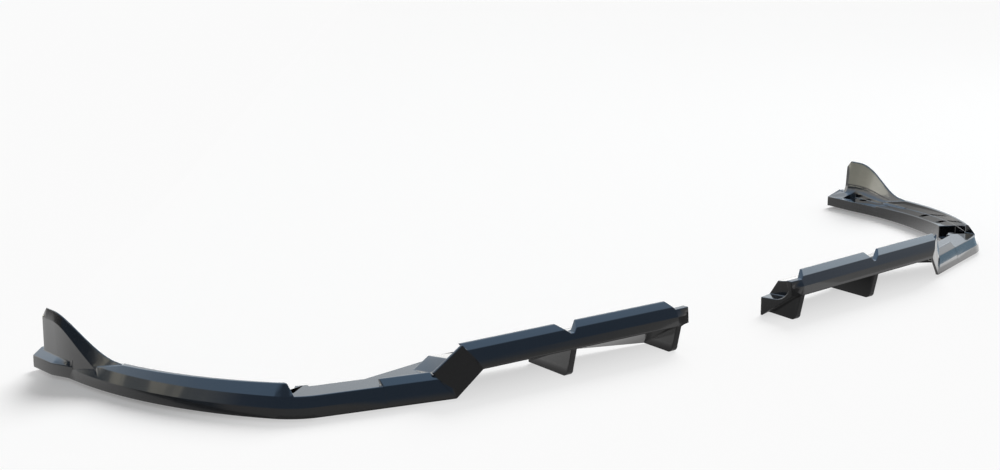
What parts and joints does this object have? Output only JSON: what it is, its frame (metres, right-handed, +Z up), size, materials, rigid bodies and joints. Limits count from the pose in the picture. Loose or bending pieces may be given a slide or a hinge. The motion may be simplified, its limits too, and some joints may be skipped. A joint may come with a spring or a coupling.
{
  "type": "rear bumper splitter",
  "caption": "Handed gloss-black mouldings for the lower edge of a car's rear bumper, with a raised bar on fins, a ramp, a creased corner lip and upright side winglets.",
  "frame": {"origin": "on the ground plane, midway across the car and midway between the rearmost and foremost points of the mouldings", "axes": "+X to the car's right, +Y forwards along the car, +Z up"},
  "size_m": [1.7, 0.5056, 0.089],
  "materials": {
    "gloss_black": "smooth high-gloss black moulded plastic"
  },
  "bodies": {
    "root": {"left_splitter_half": "gloss_black", "right_splitter_half": "gloss_black"}
  },
  "joints": []
}
